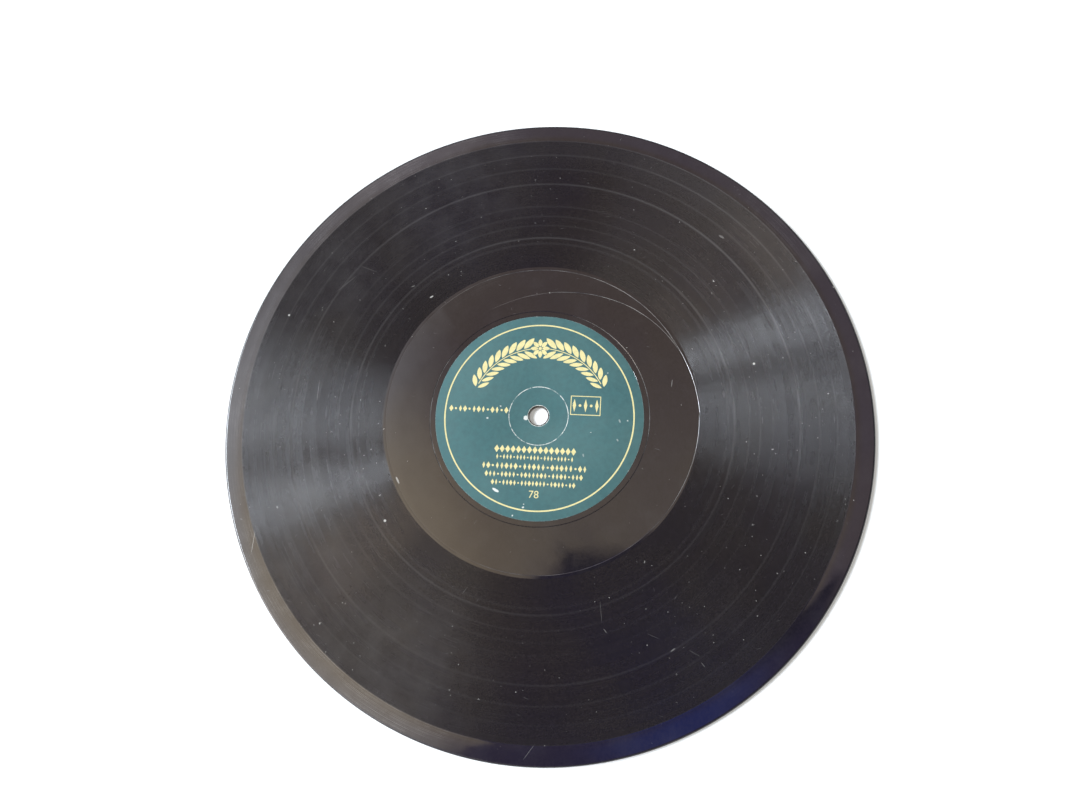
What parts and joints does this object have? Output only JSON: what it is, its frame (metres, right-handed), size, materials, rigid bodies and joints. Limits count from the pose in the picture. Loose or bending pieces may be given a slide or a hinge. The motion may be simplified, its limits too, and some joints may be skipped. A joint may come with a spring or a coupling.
{
  "type": "shellac record",
  "caption": "Flat round gramophone disc with a spindle hole, fine concentric grooves on both faces and a paper label pressed into each.",
  "frame": {"origin": "on the axis of the spindle hole, in the plane of the underside (side B)", "axes": "+Z along the spindle hole, up out of side A; +Y towards the top of side A's label"},
  "size_m": [0.25, 0.25, 0.0022],
  "materials": {
    "shellac_face": "pressed shellac compound, polished where plain and finely grooved in the recorded band",
    "core_stock": "coarse slate-filled shellac stock, showing only in the hole and as a thin line on the rim",
    "barrier_paper": null,
    "label_paper": "blue-green uncoated paper",
    "label_ink": "pale gold ink of the label's print, which only the visual model has"
  },
  "bodies": {
    "root": {"core_slab": "core_stock", "barrier_paper_a": "barrier_paper", "barrier_paper_b": "barrier_paper", "playing_face_a": "shellac_face", "playing_face_b": "shellac_face", "label_a": "label_paper", "label_b": "label_paper"}
  },
  "joints": []
}
